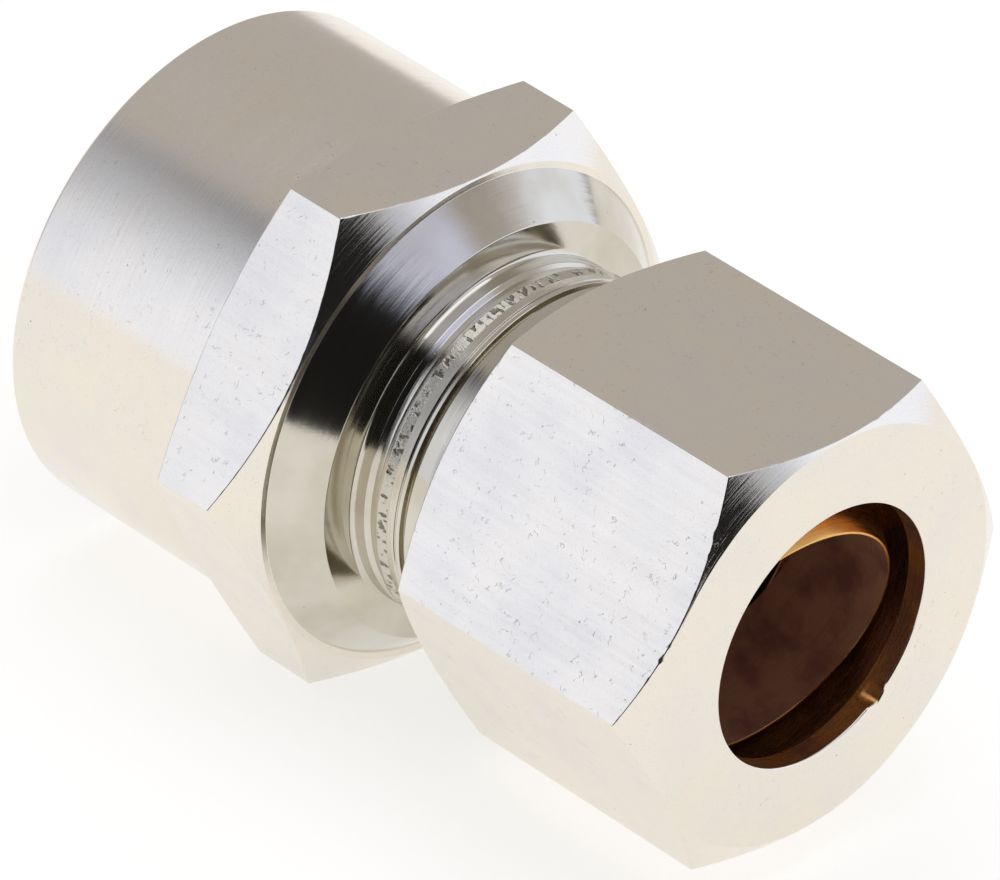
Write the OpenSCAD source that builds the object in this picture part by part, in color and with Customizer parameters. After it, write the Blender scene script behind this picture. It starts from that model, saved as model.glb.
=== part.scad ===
// Straight compression fitting: a plain tube enters through the hexagon nut, and a
// female pipe thread opens at the other end. The axis of the tube is +X, the nut is at
// the +X end, and the origin is the centre of the pipe socket's open end.
// All sizes are in millimetres.

/* [Tube] */
// Outside diameter of the tube that the fitting takes
tube_d = 12; // [12:0.1:12.2]
// Diametral clearance of the nut's lip over the tube
lip_play = 0.4; // [0.3:0.05:0.5]
// Diametral clearance of the body's tube socket over the tube
socket_play = 0.2; // [0.15:0.05:0.3]

/* [Fitting body] */
// Outside diameter of the pipe socket
barrel_d = 23.9; // [23:0.1:24]
// Length of the plain barrel, from its open end to the hexagon
barrel_len = 10.8; // [10.8:0.1:14]
// Width of the body hexagon across its flats
body_af = 24; // [24:0.5:27]
// Thickness of the body hexagon
body_hex_len = 5.1; // [5:0.1:6]
// Length of the stub in front of the hexagon, up to its mouth
stub_len = 10.1; // [9.8:0.1:10.2]
// Radius of the neck behind the thread
neck_r = 8.4; // [8.2:0.05:8.45]
// Radius of the small collar at the root of the neck
collar_r = 9.95; // [9.7:0.05:10.2]
// Radius of the turned shoulder where it meets the hexagon
shoulder_r = 11.6; // [11.2:0.05:11.75]
// Length of the turned shoulder
shoulder_len = 1.85; // [1.6:0.05:2]

/* [Threads] */
// Major diameter of the fine thread between body and nut
stub_thread_d = 17; // [17:0.1:17.2]
// Minor diameter of the female pipe thread
pipe_minor_d = 18.63; // [18.4:0.01:18.8]
// Usable length of the female pipe thread
pipe_len = 10; // [9:0.1:10.5]

/* [Compression nut] */
// Width of the nut across its flats
nut_af = 20; // [20:0.5:22]
// Length of the nut
nut_len = 14.6; // [14.5:0.1:16]
// Thickness of the lip that closes the nut round the tube
lip_len = 1; // [0.8:0.05:1]
// Gap between the body hexagon and the nut, as the nut stands now
nut_gap = 7.1; // [7:0.1:7.2]

/* [Olive] */
// Width of the olive along its own axis
olive_w = 5; // [4.8:0.1:5.2]
// Largest outside diameter of the olive
olive_d = 14.2; // [13.8:0.05:14.3]
// Outside diameter of the olive at its ends
olive_end_d = 12.45; // [12.4:0.05:12.6]
// Depth of the olive's front end behind the nut's front face
olive_depth = 2.65; // [2.65:0.05:2.8]
// How far the loose olive has dropped below the nut's axis
olive_drop = 1.8; // [0:0.05:1.85]
// How far the loose olive leans out of square, in degrees
olive_lean = 15; // [0:0.5:15]

/* [Hidden] */

$fn = 96;
fine = 0.05; // running clearance of the plain cylinders that stand for the threads
over = 1; // how far a cutting tool runs past the face that it opens

hex_back = barrel_len;
hex_front = barrel_len + body_hex_len;
stub_end = hex_front + stub_len;
nut_back = hex_front + nut_gap;
nut_front = nut_back + nut_len;

body_slopes = [20, 34]; // chamfers of the body hexagon from its back and front faces, in degrees
nut_slopes = [28, 32]; // chamfers of the nut from its back and front faces, in degrees
body_land_r = body_af / 2 - 0.1;
nut_land_r = nut_af / 2 - 0.05;

pipe_r = pipe_minor_d / 2;
pipe_mouth_r = pipe_r + 1.25; // the countersink reaches the thread's major diameter
pipe_runout = 1.5; // room behind the pipe thread for its tap
waterway_r = 4.75;
tube_socket_r = (tube_d + socket_play) / 2;
tube_stop = hex_front + 2;
mouth_r = 7.1; // wide end of the cone that squeezes the olive
mouth_len = 1.8;
neck_end = hex_front + 3.3;
thread_r = stub_thread_d / 2;
thread_lead = 0.45; // chamfer at the ends of the fine thread

lip_r = (tube_d + lip_play) / 2;
nut_bore_r = thread_r + fine;
chamber_top = nut_front - lip_len;
nut_mouth_r = nut_bore_r + 0.35;

olive_r = tube_socket_r;
olive_land = 1.6; // width of the plain band round the middle of the olive
lean_angle = 17; // direction of the edge that leans forward, from +Z towards +Y

colour_plate = [0.78, 0.77, 0.74];
colour_brass = [0.80, 0.58, 0.27];

// Turn a profile of [position along the tube, radius] points about the X axis.
module turned(points) {
    rotate([0, 90, 0])
        rotate_extrude()
            polygon([for (p = points) [p[1], p[0]]]);
}

// Round bar of radius r from x = from to x = to.
module bar(from, to, r) {
    translate([from, 0, 0])
        rotate([0, 90, 0])
            cylinder(h = to - from, r = r);
}

// Hexagon bar with a flat on top, its corners turned off at both ends.
module chamfered_hex(from, to, af, land_r, slopes) {
    corner_r = af / sqrt(3);
    beyond = (corner_r - land_r) * 1.5; // the cones are cut past the corners
    rise = [for (slope = slopes) beyond * tan(slope)];
    intersection() {
        translate([from, 0, 0])
            rotate([0, 90, 0])
                rotate([0, 0, 90])
                    cylinder(h = to - from, r = corner_r, $fn = 6);
        turned([
            [from, 0],
            [from, land_r],
            [from + rise[0], land_r + beyond],
            [to - rise[1], land_r + beyond],
            [to, land_r],
            [to, 0]
        ]);
    }
}

// Pipe socket, hexagon, neck and threaded stub, machined from one bar.
module fitting_body() {
    color(colour_plate)
        difference() {
            union() {
                turned([
                    [0, 0],
                    [0, barrel_d / 2 - 0.3],
                    [0.3, barrel_d / 2],
                    [hex_back + over, barrel_d / 2],
                    [hex_back + over, 0]
                ]);
                chamfered_hex(hex_back, hex_front, body_af, body_land_r, body_slopes);
                turned([
                    [hex_front - over, 0],
                    [hex_front - over, shoulder_r],
                    [hex_front, shoulder_r],
                    [hex_front + shoulder_len, collar_r],
                    [hex_front + shoulder_len, neck_r],
                    [neck_end - thread_lead, neck_r],
                    [neck_end, thread_r],
                    [stub_end - thread_lead, thread_r],
                    [stub_end, thread_r - thread_lead],
                    [stub_end, 0]
                ]);
            }
            bar(-over, pipe_len + pipe_runout, pipe_r);
            turned([
                [-over, 0],
                [-over, pipe_mouth_r + over],
                [pipe_mouth_r - pipe_r, pipe_r],
                [pipe_mouth_r - pipe_r, 0]
            ]);
            bar(0, stub_end, waterway_r);
            bar(tube_stop, stub_end + over, tube_socket_r);
            turned([
                [stub_end - mouth_len, 0],
                [stub_end - mouth_len, tube_socket_r],
                [stub_end, mouth_r],
                [stub_end + over, mouth_r],
                [stub_end + over, 0]
            ]);
        }
}

// Hexagon nut with a lip round the tube and a chamber that holds the olive.
module compression_nut() {
    color(colour_plate)
        difference() {
            chamfered_hex(nut_back, nut_front, nut_af, nut_land_r, nut_slopes);
            bar(nut_back, nut_front + over, lip_r);
            turned([
                [nut_back - over, 0],
                [nut_back - over, nut_mouth_r + over],
                [nut_back + nut_mouth_r - nut_bore_r, nut_bore_r],
                [chamber_top - nut_bore_r + lip_r, nut_bore_r],
                [chamber_top, lip_r],
                [chamber_top, 0]
            ]);
        }
}

// Barrel-shaped ring that grips the tube, loose in the nut.
module olive() {
    taper = (olive_w - olive_land) / 2;
    color(colour_brass)
        translate([nut_front - olive_depth, 0, -olive_drop])
            rotate([-lean_angle, 0, 0])
                rotate([0, olive_lean, 0])
                    turned([
                        [-olive_w, olive_r],
                        [-olive_w, olive_end_d / 2],
                        [-olive_w + taper, olive_d / 2],
                        [-taper, olive_d / 2],
                        [0, olive_end_d / 2],
                        [0, olive_r]
                    ]);
}

fitting_body();
compression_nut();
olive();
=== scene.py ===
"""Looks of a straight compression fitting: a plated body, its nut and a loose brass olive.

The tube's axis is X and the nut is at the +X end. Lengths are in millimetres until a mesh
is made, and angles round the axis run in degrees from +Z towards +Y.
"""

import math

import bmesh
import bpy
from mathutils import Matrix, Vector, noise


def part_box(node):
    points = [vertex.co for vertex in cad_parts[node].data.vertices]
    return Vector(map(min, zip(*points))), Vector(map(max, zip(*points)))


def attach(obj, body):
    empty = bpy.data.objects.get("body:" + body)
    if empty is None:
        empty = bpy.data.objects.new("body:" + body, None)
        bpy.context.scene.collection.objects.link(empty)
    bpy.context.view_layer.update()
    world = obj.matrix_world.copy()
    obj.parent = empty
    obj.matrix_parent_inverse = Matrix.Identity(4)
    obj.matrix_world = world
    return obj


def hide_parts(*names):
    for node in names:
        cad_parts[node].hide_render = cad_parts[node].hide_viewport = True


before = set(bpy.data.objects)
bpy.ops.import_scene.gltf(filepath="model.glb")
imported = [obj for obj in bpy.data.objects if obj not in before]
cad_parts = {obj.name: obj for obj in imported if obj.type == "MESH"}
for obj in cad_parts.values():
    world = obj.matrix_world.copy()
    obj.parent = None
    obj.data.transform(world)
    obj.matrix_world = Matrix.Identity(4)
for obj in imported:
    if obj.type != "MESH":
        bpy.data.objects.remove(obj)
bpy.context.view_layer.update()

MM = 0.001
TURN = 360.0


def box_mm(node):
    """Lowest and highest corner of a CAD node, in millimetres."""
    low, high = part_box(node)
    return low / MM, high / MM


# ---- Sizes of the three pieces ----

BODY_HIGH = box_mm("fitting_body")[1]
NUT_LOW, NUT_HIGH = box_mm("compression_nut")

BODY_APOTHEM = BODY_HIGH.z
BODY_LAND_R = BODY_APOTHEM - 0.1
BODY_SLOPES = (20, 34)
HEX_BACK = 10.8
HEX_FRONT = 15.9
BARREL_R = 11.95
BARREL_CHAMFER = 0.3
SHOULDER_R = 11.6
SHOULDER_LEN = 1.85
COLLAR_R = 9.95
NECK_R = 8.4
NECK_END = HEX_FRONT + 2.7
STUB_END = BODY_HIGH.x

FINE_PITCH = 1.0
FINE_R = 8.5
FINE_LEAD = 0.5
FINE_LAND = 0.11
FINE_FLOOR_R = 7.87
FINE_RUN_IN = 0.9
FINE_END_GAP = 0.02
FINE_START = HEX_FRONT + 6.1

PIPE_R = 9.315
PIPE_MAJOR_R = 10.4775
PIPE_PITCH = 1.814
PIPE_MOUTH_R = PIPE_R + 1.25
PIPE_LEN = 10.0
PIPE_CREST_CUT = 0.1
PIPE_STEEPNESS = 1.25
PIPE_RUN_OUT = 1.2
UNDERCUT = 0.3
PIPE_BOTTOM = 11.5
WATERWAY_R = 4.75
TUBE_SOCKET_R = 6.1
TUBE_STOP = HEX_FRONT + 2
CONE_R = 7.1
CONE_LEN = 1.8

NUT_BACK = NUT_LOW.x
NUT_FRONT = NUT_HIGH.x
NUT_APOTHEM = NUT_HIGH.z
NUT_LAND_R = NUT_APOTHEM - 0.09
NUT_SLOPES = (28, 32)
LIP_R = 6.2
LIP_LEN = 1.0
CHAMBER_R = 8.55
NUT_GROOVE_R = CHAMBER_R + 0.02
NUT_RIDGE_R = 8.02
NUT_MOUTH_R = CHAMBER_R + 0.35
NUT_THREAD_LEN = 5.5
NUT_COUNTERBORE = 0.8
NICK_ANGLE = 141.0
NICK_HALF_ANGLE = 6.0
NICK_REACH = 0.3
NICK_DEPTH = 0.8

OLIVE_WIDTH = 5.0
OLIVE_R = 7.1
OLIVE_END_R = 6.22
OLIVE_BORE_R = 6.1
OLIVE_LAND = 1.6
OLIVE_DEPTH = 2.65
OLIVE_DROP = 1.8
OLIVE_LEAN = 15.0
OLIVE_LEAN_TOWARDS = 17.0

CORNER_ROUND = 0.12
ARC_STEPS = 3


# ---- Shapes ----


def hexagon_radius(angle, apothem):
    """Distance from the axis to a hexagon with a flat on top and slightly rounded corners."""
    off_flat = abs((angle + 30) % 60 - 30)
    centre = (apothem - CORNER_ROUND) / math.cos(math.radians(30))
    tangent = math.degrees(math.atan(centre * math.sin(math.radians(30)) / apothem))
    if off_flat < tangent:
        return apothem / math.cos(math.radians(off_flat))
    off_corner = math.radians(30 - off_flat)
    across = centre * math.sin(off_corner)
    return centre * math.cos(off_corner) + math.sqrt(CORNER_ROUND**2 - across**2)


def spin_angles(step=1.0):
    """Angles of a whole turn, closer together beside the corners of a hexagon."""
    beside = (0.08, 0.2, 0.34, 0.5, 0.7, 1.0, 1.4)
    angles = {round(i * step, 4) for i in range(int(TURN / step))}
    for corner in range(30, 360, 60):
        angles |= {round(corner + side * d, 4) for d in beside for side in (-1, 1)}
    return sorted(angles) + [TURN]


def rounded(corners):
    """Round the corners of an outline of (x, radius, rounding, finish) points.

    Every corner with a rounding gives the same number of points, so that the outlines at
    all angles match. The result is a list of (x, radius, finish, direction of the outline),
    where the direction is None at a corner without a rounding.
    """
    points = []
    for i, (x, r, rounding, finish) in enumerate(corners):
        here = Vector((x, r))
        back = Vector(corners[i - 1][:2]) - here
        ahead = Vector(corners[(i + 1) % len(corners)][:2]) - here
        if not rounding:
            points.append((x, r, finish, None))
            continue
        half = back.angle(ahead, math.pi) / 2
        reach = min(back.length, ahead.length) * 0.45
        cut = min(rounding / max(math.tan(half), 1e-4), reach)
        start = here + back.normalized() * cut
        end = here + ahead.normalized() * cut
        for step in range(ARC_STEPS + 1):
            t = step / ARC_STEPS
            spot = start * (1 - t) ** 2 + here * 2 * t * (1 - t) + end * t**2
            direction = (here - start) * (1 - t) + (end - here) * t
            points.append((spot.x, spot.y, finish if t == 1 else corners[i - 1][3], direction))
    return points


def thread(angle, start, end, pitch, radius_at, finish, phases):
    """Points of a right-hand thread along a plane through the axis, from start to end.

    radius_at(phase, x) gives the surface, where phase is 0 on a ridge and 0.5 in a groove.
    The nut takes its phase from the stub that it fits, so there it is the other way round.
    """
    points = []
    turns = angle / TURN
    first = int(min(start, end) / pitch) - 1
    last = int(max(start, end) / pitch) + 3
    for ridge in range(first, last):
        for phase in phases:
            x = min(max((ridge + phase - turns) * pitch, min(start, end)), max(start, end))
            local = x / pitch + turns
            points.append((x, radius_at(abs(local - round(local)), x), finish, None))
    return points if end > start else points[::-1]


def direction_at(column, i):
    """Direction of a closed outline at one of its points, as (x, radius)."""
    if column[i][3]:
        return column[i][3].normalized()
    here = Vector(column[i][:2])
    result = Vector((0, 0))
    for way in (-1, 1):
        j = i + way
        while (Vector(column[j % len(column)][:2]) - here).length < 1e-6:
            j += way
        result += (Vector(column[j % len(column)][:2]) - here).normalized() * way
    return result.normalized()


def outward(angles, grid, columns):
    """Surface direction at every point, from the outline's direction and the next columns."""
    last = len(angles) - 1
    result = []
    for a, column in enumerate(columns):
        before, after = (a - 1, a + 1) if 0 < a < last else (last - 1, 1)
        step_back = (angles[a] - angles[before]) % TURN
        step_ahead = (angles[after] - angles[a]) % TURN
        sin, cos = math.sin(math.radians(angles[a])), math.cos(math.radians(angles[a]))
        for p in range(len(column)):
            here = grid[a][p]
            around = (here - grid[before][p]) * (step_ahead / step_back)
            around += (grid[after][p] - here) * (step_back / step_ahead)
            along = direction_at(column, p)
            result.append(Vector((along.x, along.y * sin, along.y * cos)).cross(around).normalized())
    return result


def lathe(name, outline, finishes):
    """Turn outline(angle) once round the axis into a closed mesh with one material per finish."""
    angles = spin_angles()
    columns = [outline(angle) for angle in angles]
    rows = len(columns[0])
    grid = []
    for angle, column in zip(angles, columns):
        sin, cos = math.sin(math.radians(angle)), math.cos(math.radians(angle))
        grid.append([Vector((x, r * sin, r * cos)) for x, r, *_ in column])
    faces, slots = [], []
    order = list(finishes)
    for a in range(len(angles) - 1):
        for p in range(rows):
            q = (p + 1) % rows
            faces.append((a * rows + p, a * rows + q, (a + 1) * rows + q, (a + 1) * rows + p))
            slots.append(order.index(columns[0][p][2]))
    mesh = bpy.data.meshes.new(name)
    mesh.from_pydata([point * MM for points in grid for point in points], [], faces)
    mesh.polygons.foreach_set("material_index", slots)
    for finish in order:
        mesh.materials.append(finishes[finish])
    normals = mesh.attributes.new("outward", "FLOAT_VECTOR", "POINT")
    directions = outward(angles, grid, columns)
    normals.data.foreach_set("vector", [part for direction in directions for part in direction])
    bm = bmesh.new()
    bm.from_mesh(mesh)
    bmesh.ops.remove_doubles(bm, verts=bm.verts, dist=1e-8)
    bmesh.ops.dissolve_degenerate(bm, edges=bm.edges, dist=1e-8)
    for face in bm.faces:
        face.smooth = True
    bm.to_mesh(mesh)
    bm.free()
    normals = mesh.attributes["outward"]
    mesh.normals_split_custom_set_from_vertices([item.vector.copy() for item in normals.data])
    mesh.attributes.remove(mesh.attributes["outward"])
    piece = bpy.data.objects.new(name, mesh)
    bpy.context.scene.collection.objects.link(piece)
    return piece


def wander(angle, x, size, seed):
    """Smooth wobble between -1 and 1 that closes on itself after a turn."""
    turn = math.radians(angle)
    spot = Vector((math.sin(turn) * size, math.cos(turn) * size, x * 1.3 + seed))
    return noise.noise(spot)


def worn(angle, seed, rounding, chips):
    """Rounding of a sharp edge that has small chips here and there."""
    return rounding + chips * max(0.0, wander(angle, 0, 22, seed) - 0.1) * 2


# ---- The three outlines ----

FINE_PHASES = (-0.5, -0.44, -0.38, -0.25, -0.12, -0.06, 0, 0.06, 0.12, 0.25, 0.38, 0.44)
PIPE_PHASES = (-0.5, -0.43, -0.35, -0.25, -0.15, -0.07, 0, 0.07, 0.15, 0.25, 0.35, 0.43)
FLANK_RISE = math.sqrt(3)


# Turned rings between the neck and the thread, each corner as its distance from the neck's
# end, its height over the thread, its rounding and its finish.
RINGS = (
    (0, -0.1, 0.08, "neck"),
    (0.2, -0.26, 0.06, "neck"),
    (0.5, -0.26, 0.06, "neck"),
    (0.68, 0, 0.1, "neck"),
    (0.9, 0.02, 0.1, "pitted_ring"),
    (1.4, -0.04, 0.05, "neck"),
    (1.85, 0, 0.04, "neck"),
    (1.9, -0.08, 0.03, "neck"),
    (2.0, 0, 0.04, "neck"),
    (2.2, 0, 0.05, "neck"),
    (2.26, -0.35, 0.05, "neck"),
    (2.42, -0.35, 0.05, "neck"),
    (2.5, 0, 0.06, "neck"),
)


def ridge_radius(phase, top, floor, land, pitch):
    """Radius of a 60 degree thread. Half of the flat at its top radius is land pitches wide."""
    return min(top, max(floor, top - (phase - land) * FLANK_RISE * pitch))


def body_outline(angle):
    """The body at one angle: outside from the socket to the stub, then back along the bore."""
    corner = hexagon_radius(angle, BODY_APOTHEM)
    beyond = corner - BODY_LAND_R
    back_x = HEX_BACK + beyond * math.tan(math.radians(BODY_SLOPES[0]))
    front_x = HEX_FRONT - beyond * math.tan(math.radians(BODY_SLOPES[1]))
    foot_x = HEX_BACK + (BARREL_R - BODY_LAND_R) * math.tan(math.radians(BODY_SLOPES[0]))
    thread_end = STUB_END - FINE_END_GAP

    def fine_radius(phase, x):
        full = ridge_radius(phase, FINE_R, FINE_FLOOR_R, FINE_LAND, FINE_PITCH)
        lead_in = FINE_R - (x - FINE_START) * FINE_RUN_IN
        lead_out = FINE_R - FINE_LEAD + (STUB_END - x)
        return min(max(full, lead_in), lead_out, FINE_R)

    def pipe_radius(phase, x):
        groove = PIPE_MAJOR_R - (0.5 - phase) * 2 * (PIPE_MAJOR_R - PIPE_R) * PIPE_STEEPNESS
        fade = PIPE_R + max(0.0, PIPE_LEN - x) * PIPE_RUN_OUT
        mouth = PIPE_MOUTH_R - x
        return max(min(max(groove, PIPE_R), PIPE_MAJOR_R - PIPE_CREST_CUT, fade), mouth)

    outside = [
        (0, BARREL_R - BARREL_CHAMFER, 0.12, "rim"),
        (BARREL_CHAMFER, BARREL_R, 0.2, "barrel"),
        (foot_x, BARREL_R, 0.02, "hexagon_chamfer"),
        (back_x, corner, worn(angle, 2, 0.08, 0.06), "flats"),
        (front_x, corner, worn(angle, 5, 0.08, 0.12), "hexagon_chamfer"),
        (HEX_FRONT, BODY_LAND_R, 0.05, "hexagon_face"),
        (HEX_FRONT, SHOULDER_R, 0.03, "neck"),
        (HEX_FRONT + SHOULDER_LEN, COLLAR_R, 0.12, "neck"),
        (HEX_FRONT + SHOULDER_LEN + 0.1, NECK_R, 0.3, "neck"),
        *((NECK_END + x, FINE_R + r, rounding, finish) for x, r, rounding, finish in RINGS),
        (FINE_START - 0.2, FINE_R, 0, "fine_thread"),
    ]
    inside = [
        (STUB_END, FINE_R - FINE_LEAD, 0.05, "stub_end"),
        (STUB_END, CONE_R, 0.05, "stub_end"),
        (STUB_END - CONE_LEN, TUBE_SOCKET_R, 0.05, "bore"),
        (TUBE_STOP, TUBE_SOCKET_R, 0.1, "bore"),
        (TUBE_STOP, WATERWAY_R, 0.1, "bore"),
        (PIPE_BOTTOM, WATERWAY_R, 0.1, "bore"),
        (PIPE_BOTTOM + UNDERCUT, PIPE_R - 1, 0, "bore"),
        (PIPE_BOTTOM - UNDERCUT, PIPE_R, UNDERCUT, "bore"),
    ]
    stub = thread(
        angle, FINE_START - 0.2, thread_end, FINE_PITCH, fine_radius, "fine_thread", FINE_PHASES
    )
    socket = thread(angle, PIPE_LEN, 0, PIPE_PITCH, pipe_radius, "pipe_thread", PIPE_PHASES)
    return rounded(outside) + stub + rounded(inside) + socket


def nick(angle):
    """How far the dent in the rim of the nut's hole reaches past the hole."""
    off = abs(angle - NICK_ANGLE) / NICK_HALF_ANGLE
    return NICK_REACH * max(0.0, 1 - off**2) * (1 + 0.5 * wander(angle, 0, 14, 21))


def nut_outline(angle):
    """The nut at one angle: outside from back to front, then back through its thread."""
    corner = hexagon_radius(angle, NUT_APOTHEM)
    beyond = corner - NUT_LAND_R
    back_x = NUT_BACK + beyond * math.tan(math.radians(NUT_SLOPES[0]))
    front_x = NUT_FRONT - beyond * math.tan(math.radians(NUT_SLOPES[1]))
    thread_end = NUT_BACK + NUT_THREAD_LEN

    def thread_radius(phase, x):
        full = ridge_radius(phase, NUT_GROOVE_R, NUT_RIDGE_R, FINE_LAND, FINE_PITCH)
        lead_in = NUT_MOUTH_R - max(0.0, x - NUT_BACK - NUT_COUNTERBORE)
        lead_out = CHAMBER_R - (thread_end - x)
        return max(full, lead_in, lead_out)

    corners = [
        (NUT_BACK, NUT_LAND_R, 0.05, "nut_chamfer"),
        (back_x, corner, worn(angle, 8, 0.08, 0.08), "flats"),
        (front_x, corner, worn(angle, 11, 0.08, 0.25), "nut_chamfer"),
        (NUT_FRONT, NUT_LAND_R, 0.06, "nut_face"),
        (NUT_FRONT, LIP_R + nick(angle), 0.1, "nick"),
        (NUT_FRONT - NICK_DEPTH, LIP_R, 0.1, "lip"),
        (NUT_FRONT - LIP_LEN, LIP_R, 0.05, "chamber"),
        (NUT_FRONT - LIP_LEN - CHAMBER_R + LIP_R, CHAMBER_R, 0.2, "chamber"),
    ]
    inner = thread(
        angle, thread_end, NUT_BACK, FINE_PITCH, thread_radius, "nut_thread", FINE_PHASES
    )
    return rounded(corners) + inner


def olive_outline(_angle):
    """The olive, the same at every angle, with its front end at zero."""
    taper = (OLIVE_WIDTH - OLIVE_LAND) / 2
    corners = [
        (-OLIVE_WIDTH, OLIVE_BORE_R, 0.04, "olive"),
        (-OLIVE_WIDTH, OLIVE_END_R, 0.05, "olive"),
        (taper - OLIVE_WIDTH, OLIVE_R, 0.5, "olive"),
        (-taper, OLIVE_R, 0.5, "olive"),
        (0, OLIVE_END_R, 0.05, "olive"),
        (0, OLIVE_BORE_R, 0.04, "olive_bore"),
    ]
    return rounded(corners)


# ---- Finishes ----


class Finish:
    """A material under construction: one Principled shader and the patterns that feed it."""

    def __init__(self, name, **constants):
        self.material = bpy.data.materials.new(name)
        self.material.use_nodes = True
        self.nodes = self.material.node_tree.nodes
        self.links = self.material.node_tree.links
        self.shader = self.nodes["Principled BSDF"]
        for socket, value in constants.items():
            self.shader.inputs[socket.replace("_", " ").title()].default_value = value
        place = self.add("ShaderNodeTexCoord").outputs["Object"]
        self.point = self.vector("SCALE", place, scale=1 / MM)
        split = self.add("ShaderNodeSeparateXYZ", {0: self.point}).outputs
        self.x, self.y, self.z = split
        self.radius = self.math("SQRT", self.math("ADD", self.square(self.y), self.square(self.z)))
        self.around = (
            self.math("DIVIDE", self.y, self.radius),
            self.math("DIVIDE", self.z, self.radius),
        )

    def add(self, kind, inputs=None, **settings):
        node = self.nodes.new(kind)
        for key, value in settings.items():
            setattr(node, key, value)
        for socket, value in (inputs or {}).items():
            if isinstance(value, bpy.types.NodeSocket):
                self.links.new(value, node.inputs[socket])
            else:
                node.inputs[socket].default_value = value
        return node

    def math(self, operation, *values):
        return self.add("ShaderNodeMath", dict(enumerate(values)), operation=operation).outputs[0]

    def square(self, value):
        return self.math("MULTIPLY", value, value)

    def vector(self, operation, value, scale):
        inputs = {0: value, "Scale": scale}
        return self.add("ShaderNodeVectorMath", inputs, operation=operation).outputs[0]

    def place(self, x, y, z, stretch):
        """A point in space made of three values, each multiplied by its own stretch."""
        scaled = [self.math("MULTIPLY", v, s) for v, s in zip((x, y, z), stretch)]
        return self.add("ShaderNodeCombineXYZ", dict(enumerate(scaled))).outputs[0]

    def noise(self, where, scale, detail=2.0, roughness=0.5):
        inputs = {"Vector": where, "Scale": scale, "Detail": detail, "Roughness": roughness}
        return self.add("ShaderNodeTexNoise", inputs).outputs[0]

    def ramp(self, value, low, high, to_low=0.0, to_high=1.0):
        inputs = {
            "Value": value,
            "From Min": low,
            "From Max": high,
            "To Min": to_low,
            "To Max": to_high,
        }
        return self.add("ShaderNodeMapRange", inputs, interpolation_type="SMOOTHSTEP").outputs[0]

    def mix(self, factor, a, b):
        node = self.add("ShaderNodeMix", {0: factor, 6: a, 7: b}, data_type="RGBA")
        return node.outputs[2]

    def colour(self, value):
        self.links.new(value, self.shader.inputs["Base Color"])

    def roughness(self, value):
        self.links.new(value, self.shader.inputs["Roughness"])

    def relief(self, *layers):
        """Stack bump layers, each a (height, depth in mm) pair."""
        normal = None
        for height, depth in layers:
            inputs = {"Height": height, "Distance": depth * MM, "Strength": 1.0}
            if normal:
                inputs["Normal"] = normal
            normal = self.add("ShaderNodeBump", inputs).outputs[0]
        self.links.new(normal, self.shader.inputs["Normal"])


def rgb(red, green, blue):
    return (red, green, blue, 1.0)


PLATE = rgb(0.84, 0.78, 0.68)
PLATE_COOL = rgb(0.81, 0.77, 0.70)
PLATE_GREY = rgb(0.66, 0.63, 0.55)
# Duller plating for grain, pits and threads; as the neck's tone it is also painted shade.
PLATE_DULL_AND_SHADE = rgb(0.57, 0.53, 0.44)
MARK = rgb(0.30, 0.26, 0.22)
PIT = rgb(0.10, 0.08, 0.07)
BRASS = rgb(0.84, 0.47, 0.14)
BRASS_WARM = rgb(0.60, 0.28, 0.08)
BRASS_BROWN = rgb(0.40, 0.19, 0.11)
# Painted shade: the near-black brown inside the olive's bore.
BRASS_PAINTED_SHADE = rgb(0.22, 0.085, 0.06)


def strokes(finish, scale, width, cover):
    """Short thin scratches in loose clusters, 1 on a scratch and 0 elsewhere."""
    waves = finish.noise(finish.point, scale, 3, 0.6)
    line = finish.ramp(finish.math("ABSOLUTE", finish.math("SUBTRACT", waves, 0.5)), width, 0)
    broken = finish.ramp(finish.noise(finish.point, scale * 1.7, 2), 0.57, 0.66)
    cluster = finish.ramp(finish.noise(finish.point, 0.16, 1), 1 - cover, 1.05 - cover)
    return finish.math("MULTIPLY", finish.math("MULTIPLY", line, broken), cluster)


def pits(finish, where, scale, cover):
    """Small scattered specks of uneven size, 1 inside a speck and 0 elsewhere."""
    inputs = {"Vector": where, "Scale": scale, "Randomness": 1.0}
    cells = finish.add("ShaderNodeTexVoronoi", inputs, feature="F1")
    shade = finish.add("ShaderNodeSeparateXYZ", {0: cells.outputs["Color"]}).outputs
    chosen = finish.math("GREATER_THAN", shade[0], 1 - cover)
    size = finish.math("MULTIPLY", shade[1], 0.07)
    near = finish.ramp(finish.math("SUBTRACT", cells.outputs["Distance"], size), 0.04, 0)
    return finish.math("MULTIPLY", near, chosen)


def plated(finish, rings, depth, rough, wear, tone=(PLATE, PLATE_COOL)):
    """Bright plating over a ring or line pattern, with grain, scratches and a few pits."""
    cloud = finish.noise(finish.point, 0.3, 3)
    grain = finish.noise(finish.point, 11.0, 2, 0.7)
    scratch = strokes(finish, 1.5, 0.012, wear)
    speck = pits(finish, finish.point, 1.7, 0.07)
    base = finish.mix(finish.ramp(cloud, 0.35, 0.7), *tone)
    base = finish.mix(finish.ramp(grain, 0.55, 0.8, 0, 0.45), base, PLATE_DULL_AND_SHADE)
    base = finish.mix(finish.math("MULTIPLY", scratch, 0.5), base, MARK)
    finish.colour(finish.mix(finish.math("MULTIPLY", speck, 0.55), base, MARK))
    finish.roughness(finish.ramp(finish.math("ADD", cloud, rings), 0.5, 1.5, rough[0], rough[1]))
    finish.relief((rings, depth), (grain, 0.0012), (scratch, -0.002), (speck, -0.005))
    return finish.material


def flat_finish():
    """Hexagon flats, with the faint lines of the drawn bar along the axis."""
    finish = Finish("drawn_flats", metallic=1.0)
    lines = finish.noise(finish.place(finish.x, finish.y, finish.z, (0.1, 4, 4)), 1.0, 4, 0.6)
    return plated(finish, lines, 0.002, (0.14, 0.24), 0.62)


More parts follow.
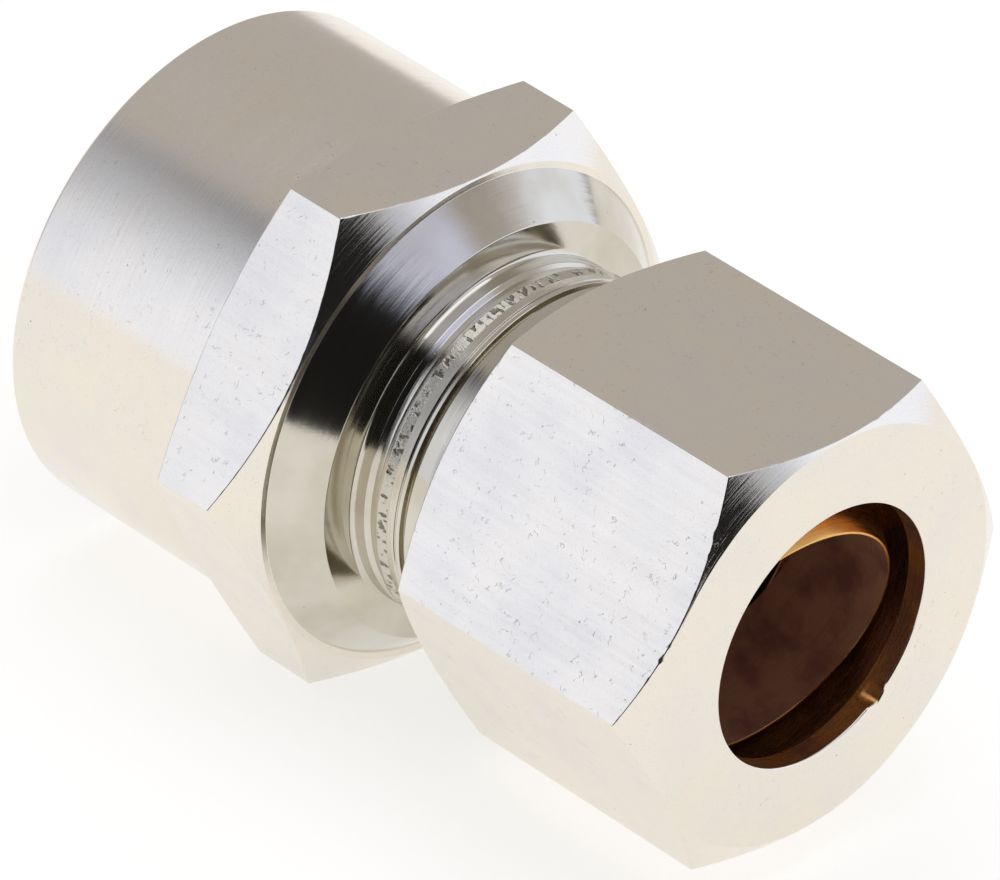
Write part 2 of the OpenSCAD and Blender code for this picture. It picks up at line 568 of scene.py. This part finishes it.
def faced_finish(name, depth, rough, wear):
    """A faced surface with fine rings round the axis."""
    finish = Finish(name, metallic=1.0)
    y, z = finish.around
    rings = finish.noise(finish.place(finish.radius, y, z, (11, 1.4, 1.4)), 1.0, 3, 0.7)
    return plated(finish, rings, depth, rough, wear)


def turned_finish(name, frequency, depth, rough, wear, **tone):
    """A surface turned along the axis, with rings one beside the other."""
    finish = Finish(name, metallic=1.0)
    y, z = finish.around
    rings = finish.noise(finish.place(finish.x, y, z, (frequency, 1.6, 1.6)), 1.0, 4, 0.65)
    return plated(finish, rings, depth, rough, wear, **tone)


def pitted_finish():
    """The rough ring beside the thread, where the plating is full of small holes."""
    finish = Finish("pitted_ring", metallic=1.0)
    y, z = finish.around
    round_axis = finish.place(finish.x, y, z, (2.2, 32, 32))
    cells = finish.noise(round_axis, 1.0, 1, 0.5)
    holes = finish.ramp(cells, 0.52, 0.66, 0, 0.75)
    grain = finish.noise(round_axis, 3.0, 2, 0.7)
    finish.colour(finish.mix(holes, finish.mix(grain, PLATE_DULL_AND_SHADE, PLATE_GREY), PIT))
    finish.roughness(finish.ramp(grain, 0.2, 0.8, 0.2, 0.4))
    finish.relief((grain, 0.012), (holes, -0.05))
    return finish.material


def brass_finish(name, clean, dark, patch, rough, metallic):
    """Bare brass, turned along the axis and darker in patches: tarnish, except in the olive's bore,
    where the dark colours are painted shade.
    """
    finish = Finish(name, metallic=metallic)
    y, z = finish.around
    rings = finish.noise(finish.place(finish.x, y, z, (5, 1.5, 1.5)), 1.0, 4, 0.6)
    cloud = finish.noise(finish.point, 0.45, 4, 0.6)
    base = finish.mix(finish.ramp(cloud, patch[0], patch[1]), clean, dark)
    finish.colour(finish.mix(finish.ramp(rings, 0.55, 0.8, 0, 0.5), base, dark))
    finish.roughness(finish.ramp(rings, 0.2, 0.8, rough * 0.7, rough * 1.3))
    finish.relief((rings, 0.008))
    return finish.material


FLATS = flat_finish()
FACE = faced_finish("turned_face", 0.0025, (0.14, 0.26), 0.45)
CHAMFER = faced_finish("turned_chamfer", 0.012, (0.08, 0.16), 0.4)
BARREL = turned_finish("turned_barrel", 6, 0.0025, (0.13, 0.24), 0.5)
# Painted shade: the neck takes the grey and dull plating tones so that it comes out darker, standing
# for the shadowed floor it reflects between body and nut.
NECK = turned_finish("turned_neck", 4, 0.006, (0.08, 0.15), 0.3, tone=(PLATE_GREY, PLATE_DULL_AND_SHADE))
THREADS = turned_finish("cut_thread", 6, 0.006, (0.14, 0.24), 0.3, tone=(PLATE_GREY, PLATE_DULL_AND_SHADE))
PITTED = pitted_finish()
BORE = brass_finish("bare_bore", BRASS_WARM, BRASS_BROWN, (0.38, 0.6), 0.26, 0.85)
OLIVE = brass_finish("olive_brass", BRASS, BRASS_WARM, (0.45, 0.8), 0.3, 1.0)
# Painted shade: the olive's bore is painted dark brown and made only slightly metallic, so that its
# inside looks shadowed; the patches in it vary at random.
OLIVE_BORE = brass_finish("olive_bore", BRASS_BROWN, BRASS_PAINTED_SHADE, (0.4, 0.7), 0.5, 0.3)


# ---- Pieces ----

body = lathe(
    "fitting_body_turned",
    body_outline,
    {
        "rim": FACE,
        "barrel": BARREL,
        "flats": FLATS,
        "hexagon_chamfer": CHAMFER,
        "hexagon_face": FACE,
        "neck": NECK,
        "pitted_ring": PITTED,
        "fine_thread": THREADS,
        "stub_end": FACE,
        "bore": BORE,
        "pipe_thread": THREADS,
    },
)
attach(body, "fitting_body")
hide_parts("fitting_body")

nut = lathe(
    "compression_nut_turned",
    nut_outline,
    {
        "flats": FLATS,
        "nut_chamfer": CHAMFER,
        "nut_face": FACE,
        "nick": BORE,
        "lip": BORE,
        "nut_thread": THREADS,
        "chamber": BORE,
    },
)
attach(nut, "nut")
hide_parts("compression_nut")

olive = lathe("olive_turned", olive_outline, {"olive": OLIVE, "olive_bore": OLIVE_BORE})
olive.matrix_world = (
    Matrix.Translation(Vector((NUT_FRONT - OLIVE_DEPTH, 0, -OLIVE_DROP)) * MM)
    @ Matrix.Rotation(math.radians(-OLIVE_LEAN_TOWARDS), 4, "X")
    @ Matrix.Rotation(math.radians(OLIVE_LEAN), 4, "Y")
)
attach(olive, "olive")
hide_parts("olive")


# ---- Camera, floor and light ----

scene = bpy.context.scene
scene.view_settings.view_transform = "Standard"

CAMERA_AT = Vector((255.55, -255.34, 231.77)) * MM
CAMERA_AIM = Vector((18.466, -0.201, -0.032)) * MM
CAMERA_ROLL = 4.65
SENSOR = 36
FOCAL_LENGTH = 350.84

lens = bpy.data.cameras.new("camera")
lens.sensor_width = SENSOR
lens.lens = FOCAL_LENGTH
lens.clip_start, lens.clip_end = 0.01, 20
camera = bpy.data.objects.new("camera", lens)
scene.collection.objects.link(camera)
camera.location = CAMERA_AT
aim = (CAMERA_AIM - CAMERA_AT).to_track_quat("-Z", "Y")
camera.rotation_mode = "QUATERNION"
camera.rotation_quaternion = aim @ Matrix.Rotation(math.radians(CAMERA_ROLL), 3, "Z").to_quaternion()
scene.camera = camera

FLOOR_Z = -BODY_APOTHEM * MM
SQUARE = ((-1, -1), (1, -1), (1, 1), (-1, 1))


def quad(name, centre, half_x, half_y, material):
    """A flat level sheet given by its centre and half sizes."""
    mesh = bpy.data.meshes.new(name)
    corners = [centre + Vector((x * half_x, y * half_y, 0)) for x, y in SQUARE]
    mesh.from_pydata(corners, [], [(0, 1, 2, 3)])
    mesh.materials.append(material)
    sheet = bpy.data.objects.new(name, mesh)
    scene.collection.objects.link(sheet)
    return sheet


def glow(name):
    """A material that shines with the colours painted on the mesh's corners."""
    material = bpy.data.materials.new(name)
    material.use_nodes = True
    nodes, links = material.node_tree.nodes, material.node_tree.links
    shader = nodes["Principled BSDF"]
    shader.inputs["Base Color"].default_value = rgb(0, 0, 0)
    shader.inputs["Specular IOR Level"].default_value = 0
    shader.inputs["Emission Strength"].default_value = 1.0
    paint = nodes.new("ShaderNodeVertexColor")
    paint.layer_name = "shine"
    links.new(paint.outputs["Color"], shader.inputs["Emission Color"])
    return material


def screen(name, azimuths, elevation, shine):
    """A curved upright screen round the fitting, seen only in reflections.

    It stands on the floor between two azimuths, measured from +X towards +Y, and its top
    edge is at the elevation. shine(azimuth, elevation) gives its colour.
    """
    columns, rows = 24, 16
    top = SCREEN_DISTANCE * math.tan(math.radians(elevation))
    verts, colours = [], []
    for c in range(columns + 1):
        azimuth = azimuths[0] + (azimuths[1] - azimuths[0]) * c / columns
        turn = math.radians(azimuth)
        for r in range(rows + 1):
            z = FLOOR_Z + (top - FLOOR_Z) * r / rows
            verts.append((math.cos(turn) * SCREEN_DISTANCE, math.sin(turn) * SCREEN_DISTANCE, z))
            colours.append(shine(azimuth, math.degrees(math.atan(z / SCREEN_DISTANCE))))
    faces = []
    for c in range(columns):
        for r in range(rows):
            corner = c * (rows + 1) + r
            faces.append((corner, corner + rows + 1, corner + rows + 2, corner + 1))
    mesh = bpy.data.meshes.new(name)
    mesh.from_pydata(verts, [], faces)
    layer = mesh.color_attributes.new("shine", "FLOAT_COLOR", "POINT")
    for item, colour in zip(layer.data, colours):
        item.color = colour
    mesh.materials.append(glow(name + "_glow"))
    made = bpy.data.objects.new(name, mesh)
    scene.collection.objects.link(made)
    made.visible_camera = False
    made.visible_diffuse = False
    made.visible_shadow = False


def blend(value, low, high):
    """0 below low, 1 above high and smooth in between."""
    t = min(max((value - low) / (high - low), 0), 1)
    return t * t * (3 - 2 * t)


def mixed(a, b, factor):
    return tuple(x + (y - x) * factor for x, y in zip(a, b))


SCREEN_DISTANCE = 300 * MM
# Azimuths at which the screens end or meet, and the elevation of their top edges, in degrees.
SCREEN_TOP = 62
LEFT_END, DARK_START, RIGHT_START, RIGHT_END = -172, -111, 9, 85
ROOM = rgb(0.50, 0.47, 0.455)
SOFT_WHITE = rgb(1.06, 1.12, 1.30)
DIM_WHITE = rgb(0.50, 0.52, 0.59)
SKY = rgb(0.78, 0.82, 1.10)
DARK = rgb(0.012, 0.012, 0.012)


def left_shine(azimuth, elevation):
    """A wall, dimmer towards -X. Above it is the room on that side and dark on the other."""
    near = mixed(SOFT_WHITE, DIM_WHITE, blend(-azimuth, 124, 136))
    above = mixed(ROOM, DARK, blend(azimuth, -155, -140))
    return mixed(near, above, blend(elevation, 40, 54))


def right_shine(azimuth, elevation):
    """A wall, dimmer towards +X. Above it is the sky on that side and the room on the other."""
    wall = mixed(DIM_WHITE, SOFT_WHITE, blend(azimuth, 10, 30))
    above = mixed(SKY, ROOM, blend(azimuth, 22, 40))
    return mixed(wall, above, blend(elevation, 25, 40))


def dark_shine(azimuth, elevation):
    """Dark, with the room at the very top and a taller strip of sky towards +X."""
    towards_front = blend(azimuth, -50, -25)
    edge = 56 - 16 * towards_front
    return mixed(DARK, mixed(ROOM, SKY, towards_front), blend(elevation, edge, edge + 6))


screen("left_screen", (LEFT_END, DARK_START), SCREEN_TOP, left_shine)
screen("dark_screen", (DARK_START, RIGHT_START), SCREEN_TOP, dark_shine)
screen("right_screen", (RIGHT_START, RIGHT_END), SCREEN_TOP, right_shine)

floor_paint = bpy.data.materials.new("floor_paint")
floor_paint.use_nodes = True
floor_shader = floor_paint.node_tree.nodes["Principled BSDF"]
floor_shader.inputs["Base Color"].default_value = rgb(0.5, 0.5, 0.5)
floor_shader.inputs["Roughness"].default_value = 1.0
floor_shader.inputs["Specular IOR Level"].default_value = 0
floor_shader.inputs["Emission Color"].default_value = rgb(1, 0.995, 0.98)
floor_shader.inputs["Emission Strength"].default_value = 0.69
quad("floor", Vector((0, 0, FLOOR_Z)), 3, 3, floor_paint)

world = bpy.data.worlds.new("studio")
world.use_nodes = True
world.node_tree.nodes["Background"].inputs["Color"].default_value = ROOM
scene.world = world

overhead = bpy.data.lights.new("overhead", "AREA")
overhead.size = 0.46
overhead.energy = 0.7
overhead.color = (0.82, 0.89, 1.0)
lamp = bpy.data.objects.new("overhead", overhead)
scene.collection.objects.link(lamp)
lamp.location = (0, 0, 0.5)
